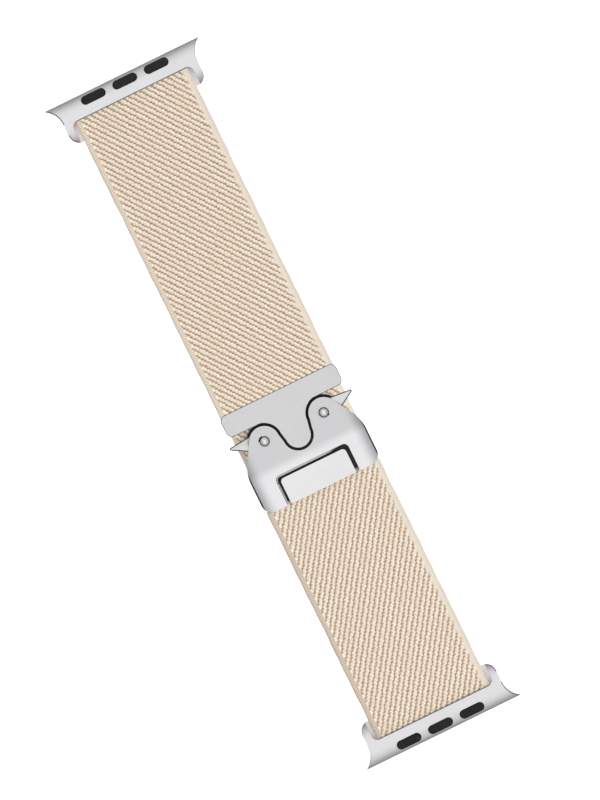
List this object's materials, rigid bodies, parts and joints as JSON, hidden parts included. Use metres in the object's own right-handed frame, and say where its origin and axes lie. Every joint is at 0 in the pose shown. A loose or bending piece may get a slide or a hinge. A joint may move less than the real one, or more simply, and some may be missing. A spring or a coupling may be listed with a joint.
{
  "type": "fabric watch strap",
  "caption": "Flat twill webbing watch strap with a metal side-release clasp in the middle and a slide-in case connector at each end.",
  "frame": {"origin": "under the middle of the strap's length, on the surface that it lies on", "axes": "+X across the strap, +Y along it towards the upper connector, +Z out of its front face"},
  "size_m": [0.033, 0.1404, 0.0047],
  "materials": {
    "webbing": "twill-woven polyester webbing, sand",
    "clasp_metal": "satin",
    "pawl_metal": "satin",
    "rivet_metal": "polished",
    "connector_metal": "fine bead-blasted",
    "black_rubber": "smooth",
    "spring_steel": "bright drawn"
  },
  "bodies": {
    "housing": {"front_cover": "clasp_metal", "back_plate": "clasp_metal", "left_rivet": "rivet_metal", "right_rivet": "rivet_metal", "left_pawl_spring": "spring_steel", "right_pawl_spring": "spring_steel", "lever_pin": "spring_steel", "cover_screws": "rivet_metal", "lower_strap": "webbing"},
    "left_catch": {"left_pawl": "pawl_metal"},
    "right_catch": {"right_pawl": "pawl_metal"},
    "lever": {"clamp_lever": "clasp_metal"},
    "hook": {"hook_plate": "clasp_metal", "hook_clamp_plate": "clasp_metal", "hook_screws": "rivet_metal", "upper_strap": "webbing"},
    "upper_end": {"upper_connector": "connector_metal", "upper_strap_bar": "spring_steel", "upper_latch_spring": "spring_steel", "upper_latch_plug": "connector_metal", "upper_left_pad": "black_rubber", "upper_right_pad": "black_rubber"},
    "upper_latch": {"upper_latch_button": "black_rubber"},
    "lower_end": {"lower_connector": "connector_metal", "lower_strap_bar": "spring_steel", "lower_latch_spring": "spring_steel", "lower_latch_plug": "connector_metal", "lower_left_pad": "black_rubber", "lower_right_pad": "black_rubber"},
    "lower_latch": {"lower_latch_button": "black_rubber"}
  },
  "joints": [
    {"name": "hook_slide", "type": "slide", "parent": "housing", "child": "hook", "axis": [0, 1, 0], "range_m": [0, 0.01]},
    {"name": "left_pawl_pivot", "type": "hinge", "parent": "housing", "child": "left_catch", "pos_m": [-0.0063, -0.005, 0.00225], "axis": [0, 0, -1], "range_deg": [0, 22.1], "stiffness_Nm_per_rad": 0.004, "springref_deg": -11.46, "deforming": ["left_pawl_spring"]},
    {"name": "right_pawl_pivot", "type": "hinge", "parent": "housing", "child": "right_catch", "pos_m": [0.0063, -0.005, 0.00225], "axis": [0, 0, 1], "range_deg": [0, 22.1], "stiffness_Nm_per_rad": 0.004, "springref_deg": -11.46, "deforming": ["right_pawl_spring"]},
    {"name": "lever_hinge", "type": "hinge", "parent": "housing", "child": "lever", "pos_m": [0, -0.0134, 0.0036], "axis": [-1, 0, 0], "range_deg": [0, 85]},
    {"name": "upper_connector_pivot", "type": "hinge", "parent": "hook", "child": "upper_end", "pos_m": [0, 0.06616, 0.00225], "axis": [1, 0, 0], "range_deg": [-10, 15]},
    {"name": "lower_connector_pivot", "type": "hinge", "parent": "housing", "child": "lower_end", "pos_m": [0, -0.06616, 0.00225], "axis": [-1, 0, 0], "range_deg": [-10, 15]},
    {"name": "upper_latch_press", "type": "slide", "parent": "upper_end", "child": "upper_latch", "axis": [0, 0, -1], "range_m": [0, 0.0005], "stiffness_N_per_m": 1000, "springref_m": -0.0005, "deforming": ["upper_latch_spring"]},
    {"name": "lower_latch_press", "type": "slide", "parent": "lower_end", "child": "lower_latch", "axis": [0, 0, -1], "range_m": [0, 0.0005], "stiffness_N_per_m": 1000, "springref_m": -0.0005, "deforming": ["lower_latch_spring"]}
  ],
  "couplings": [
    {"joint": "left_pawl_pivot", "follows": "hook_slide", "rad_per_m": 38.4},
    {"joint": "right_pawl_pivot", "follows": "hook_slide", "rad_per_m": 38.4}
  ]
}
